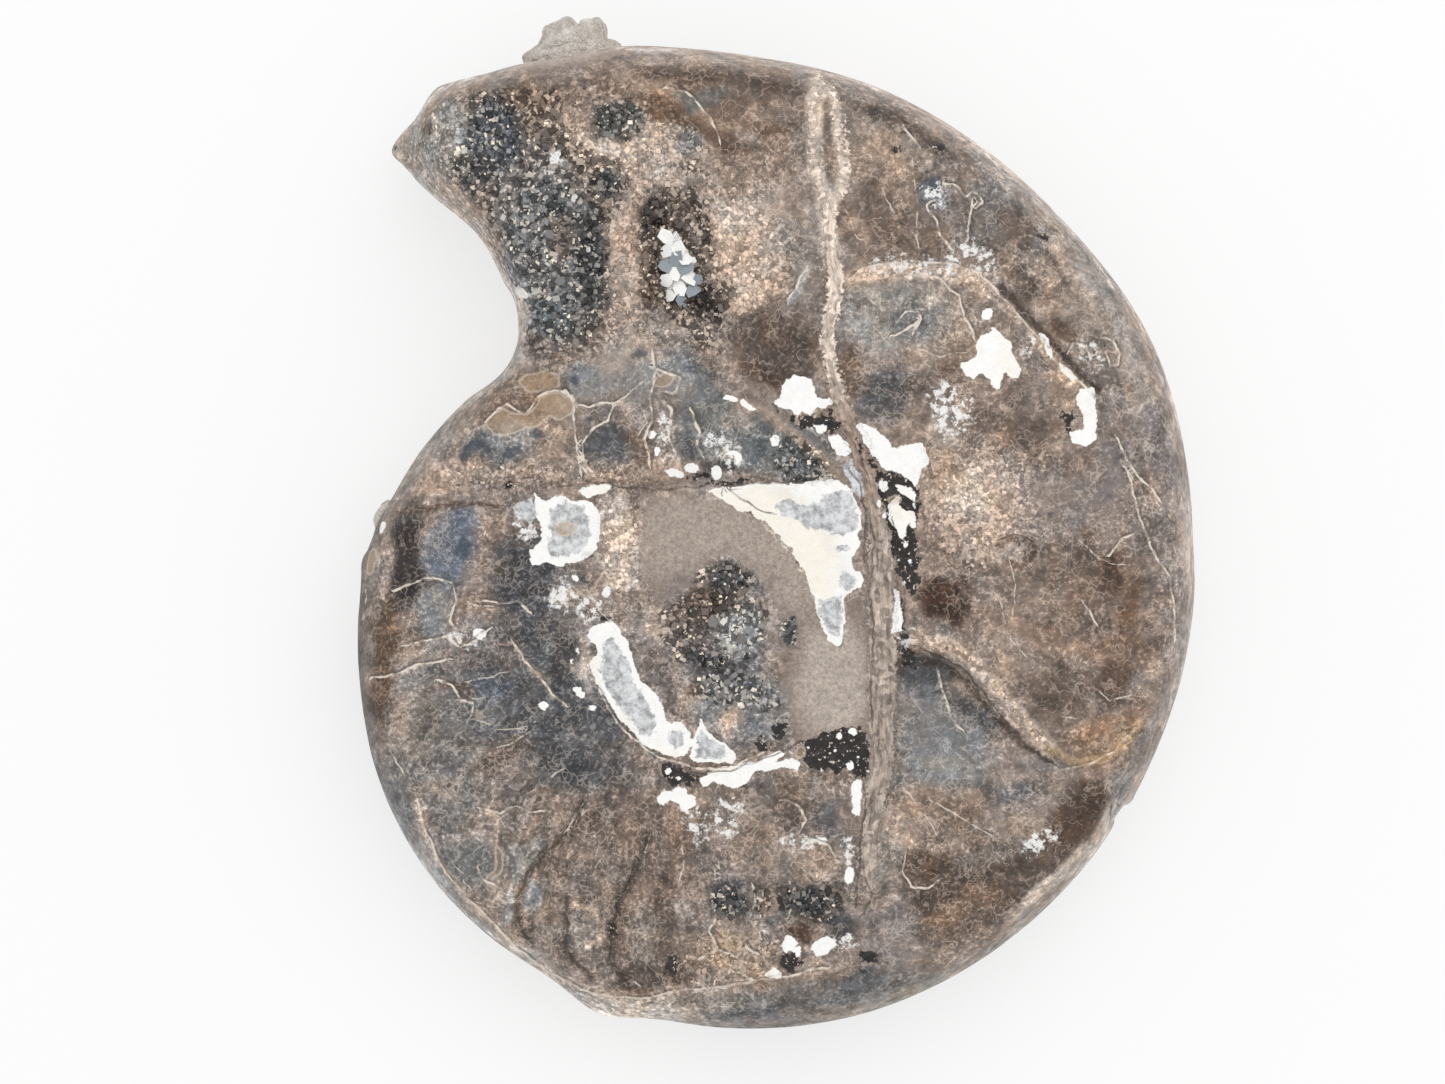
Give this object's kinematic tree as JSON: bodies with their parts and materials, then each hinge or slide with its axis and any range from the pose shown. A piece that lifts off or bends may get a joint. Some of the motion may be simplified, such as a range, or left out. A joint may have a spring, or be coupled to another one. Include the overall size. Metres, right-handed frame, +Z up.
{
  "type": "ammonite fossil",
  "caption": "Flat coiled shell turned to stone, with a broken mouth, a polished upper flank and a flat ground underside that it lies on.",
  "frame": {"origin": "middle of the part's bounding box, on the surface that it lies on", "axes": "+Z up through the coil's flat thickness, +Y towards the top of the last whorl, with the broken mouth at -X, +Y"},
  "size_m": [0.0913, 0.1103, 0.024],
  "materials": {
    "fossil_stone": "satin"
  },
  "bodies": {
    "root": {"ammonite": "fossil_stone"}
  },
  "joints": []
}
